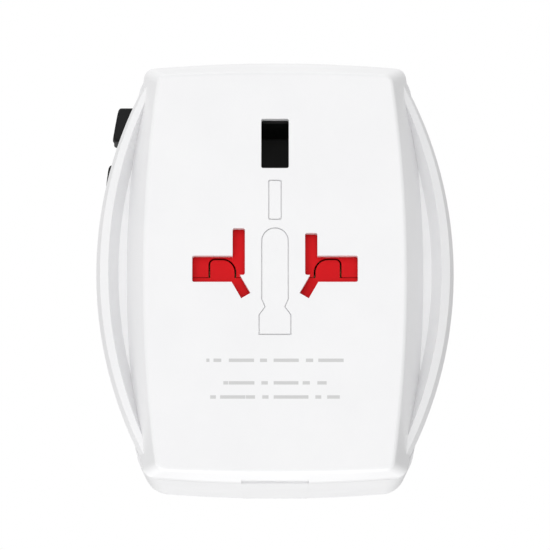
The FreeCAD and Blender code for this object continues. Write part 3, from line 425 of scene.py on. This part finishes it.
def screwProfile(front, back, settings):
    # Rows of (radius, depth) from the tip up the shank, out under the head, round its crown and in to its
    # centre. The crown's depth follows one quarter of a superellipse.
    radius, headRadius = settings["shankRadius"], settings["headRadius"]
    headFront = back - settings["headTall"]
    tipEnd, crownStart = front + settings["tipLong"], back - settings["crownRise"]
    tip = np.linspace(0, 1, settings["tipRows"], endpoint=False)[1:]
    shank = np.linspace(tipEnd, headFront, settings["shankRows"])
    turn = np.linspace(math.pi / 2, 0, settings["crownRings"])
    crown = headRadius * np.sin(turn) ** settings["ringSpread"]
    fall = np.clip(1 - (crown / headRadius) ** settings["crownPower"], 0, 1)
    rise = settings["crownRise"] * np.sqrt(fall)
    tipRadii = radius * (settings["tipStart"] + (1 - settings["tipStart"]) * tip)
    edgeRadii = [headRadius - settings["chamfer"], headRadius, headRadius]
    edgeDepths = [headFront, headFront + settings["chamfer"], crownStart]
    radii = np.concatenate([[0.0], tipRadii, np.full(len(shank), radius), edgeRadii, crown])
    depths = np.concatenate([[front], front + settings["tipLong"] * tip, shank, edgeDepths, crownStart + rise])
    return radii[:, None], depths[:, None], headFront, crownStart


def screwShell(x, z, front, back, settings):
    # The profile is turned round an axis along y. The shank's radius loses a triangle wave that winds round it,
    # and the crown sinks by a smooth step inside a cross.
    radius, depth, headFront, crownStart = screwProfile(front, back, settings)
    angle = np.linspace(0, 2 * math.pi, settings["spokes"], endpoint=False)[None, :]
    phase = (depth / settings["threadPitch"] + angle / (2 * math.pi)) % 1.0
    clear = settings["threadClear"]
    onShank = (depth < headFront - clear) & (depth > front + clear) & (radius > settings["shankRadius"] / 2)
    thread = np.where(onShank, settings["threadDepth"] * np.abs(2 * phase - 1), 0.0)
    arm = np.minimum(np.abs(radius * np.cos(angle)), np.abs(radius * np.sin(angle)))
    inCross = np.clip((settings["crossHalf"] - arm) / settings["crossSoft"] + 0.5, 0, 1)
    inReach = np.clip((settings["crossReach"] - radius) / settings["crossSoft"] + 0.5, 0, 1)
    sink = np.where(depth >= crownStart, settings["recess"] * inCross * inReach, 0.0)
    ring = radius - thread
    points = np.stack([x + ring * np.cos(angle), depth - sink, z + ring * np.sin(angle)], axis=-1)
    return points, gridFaces(len(radius), settings["spokes"])[:, ::-1].tolist()


def makeScrews(settings):
    low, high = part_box("housing_screws")
    shells = [screwShell(x, z, low[1], high[1], settings) for x, z in settings["places"]]
    piece = mesher("cross_head_screws", shells, finishes["steel"])
    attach(piece, "housing")
    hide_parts("housing_screws")


makeScrews(screwSettings)
print("stage: housing screws")

cameraSettings = {"distance": 0.600, "below": 8.0, "lens": 222.0, "aimHeight": 0.0372, "shiftY": -0.0115,
                  "faceDepth": -0.025, "sensor": 36.0, "clipEnd": 20.0}

def makeCamera(settings):
    # Stands in front of the face and a little below it, looking up at the line of the pin openings.
    data = bpy.data.cameras.new("camera")
    data.lens = settings["lens"]
    data.sensor_width = settings["sensor"]
    data.shift_y = settings["shiftY"]
    data.clip_end = settings["clipEnd"]
    camera = bpy.data.objects.new("camera", data)
    bpy.context.scene.collection.objects.link(camera)
    tilt = math.radians(settings["below"])
    camera.location = (0.0, settings["faceDepth"] - settings["distance"] * math.cos(tilt),
                       settings["aimHeight"] - settings["distance"] * math.sin(tilt))
    camera.rotation_euler = (math.pi / 2 + tilt, 0.0, 0.0)
    bpy.context.scene.camera = camera


floorSettings = {"half": 2.5, "drop": 0.0004, "tone": (0.86, 0.86, 0.86), "toneRise": 0.02, "toneScale": 12.0,
                 "roughness": 0.6}

def makeFloor(settings):
    # A pale sheet that shows from above only, so that the low camera sees through it.
    half = settings["half"]
    mesh = bpy.data.meshes.new("floor")
    corners = [(-half, -half, 0), (half, -half, 0), (half, half, 0), (-half, half, 0)]
    mesh.from_pydata(corners, [], [(0, 1, 2, 3)])
    floor = bpy.data.objects.new("floor", mesh)
    floor.location.z = -settings["drop"]
    bpy.context.scene.collection.objects.link(floor)
    material, nodes, links, shader, vector = blankMaterial("floorPaper")
    shader.inputs["Roughness"].default_value = settings["roughness"]
    tone = noiseNode(nodes, links, vector, settings["toneScale"])
    lighter = tuple(channel + settings["toneRise"] for channel in settings["tone"])
    links.new(colourBetween(nodes, links, settings["tone"], lighter, tone), shader.inputs["Base Color"])
    clear = nodes.new("ShaderNodeBsdfTransparent")
    facing = nodes.new("ShaderNodeNewGeometry")
    choose = nodes.new("ShaderNodeMixShader")
    links.new(facing.outputs["Backfacing"], choose.inputs[0])
    links.new(shader.outputs[0], choose.inputs[1])
    links.new(clear.outputs[0], choose.inputs[2])
    links.new(choose.outputs[0], nodes["Material Output"].inputs["Surface"])
    mesh.materials.append(material)
    floor.visible_diffuse = False
    floor.visible_glossy = False
    floor.visible_shadow = False


worldSettings = {"base": 0.25, "left": 0.13, "poles": 1.16, "below": 0.36, "backdrop": 1.0}

def makeWorld(settings):
    # White all round to the camera. As light, a white room, brighter above, below and a little on the left:
    # strength = base - left * x + poles * |z| + below * max(-z, 0).
    world = bpy.data.worlds.new("studio")
    bpy.context.scene.world = world
    world.use_nodes = True
    nodes, links = world.node_tree.nodes, world.node_tree.links
    fill = nodes["Background"]
    way = nodes.new("ShaderNodeTexCoord")
    split = nodes.new("ShaderNodeSeparateXYZ")
    links.new(way.outputs["Generated"], split.inputs[0])
    leftward = mathNode(nodes, links, "MULTIPLY", split.outputs["X"], -settings["left"])
    upright = mathNode(nodes, links, "ABSOLUTE", split.outputs["Z"])
    upright = mathNode(nodes, links, "MULTIPLY", upright, settings["poles"])
    lower = mathNode(nodes, links, "MAXIMUM", mathNode(nodes, links, "MULTIPLY", split.outputs["Z"], -1.0), 0.0)
    lower = mathNode(nodes, links, "MULTIPLY", lower, settings["below"])
    level = mathNode(nodes, links, "ADD", mathNode(nodes, links, "ADD", leftward, lower), upright)
    links.new(mathNode(nodes, links, "ADD", level, settings["base"]), fill.inputs["Strength"])
    plain = nodes.new("ShaderNodeBackground")
    plain.inputs["Strength"].default_value = settings["backdrop"]
    for shader in (fill, plain):
        shader.inputs["Color"].default_value = (1.0, 1.0, 1.0, 1.0)
    ray = nodes.new("ShaderNodeLightPath")
    choose = nodes.new("ShaderNodeMixShader")
    links.new(ray.outputs["Is Camera Ray"], choose.inputs[0])
    links.new(fill.outputs[0], choose.inputs[1])
    links.new(plain.outputs[0], choose.inputs[2])
    links.new(choose.outputs[0], nodes["World Output"].inputs["Surface"])


def addLight(name, place, target, size, power):
    # An area light whose local -Z points at the target: tilt from straight down, then turn about the vertical.
    data = bpy.data.lights.new(name, "AREA")
    data.shape = "RECTANGLE"
    data.size, data.size_y = size
    data.energy = power
    light = bpy.data.objects.new(name, data)
    bpy.context.scene.collection.objects.link(light)
    start, end = np.array(place), np.array(target)
    way = end - start
    light.location = place
    light.rotation_euler = (math.acos(-way[2] / np.linalg.norm(way)), 0.0, math.atan2(-way[0], way[1]))


makeCamera(cameraSettings)
makeFloor(floorSettings)
makeWorld(worldSettings)
lightSettings = {"target": (0.0, 0.0, 0.038), "lights": {
    "frontLight": {"place": (-0.32, -2.45, 0.16), "size": (2.0, 2.0), "power": 17.6},
    "keyLight": {"place": (-0.45, -0.55, 0.65), "size": (0.5, 0.5), "power": 0.12}}}
for lightName, light in lightSettings["lights"].items():
    addLight(lightName, light["place"], lightSettings["target"], light["size"], light["power"])
bpy.context.scene.view_settings.view_transform = "Standard"
print("stage: camera, floor and light")
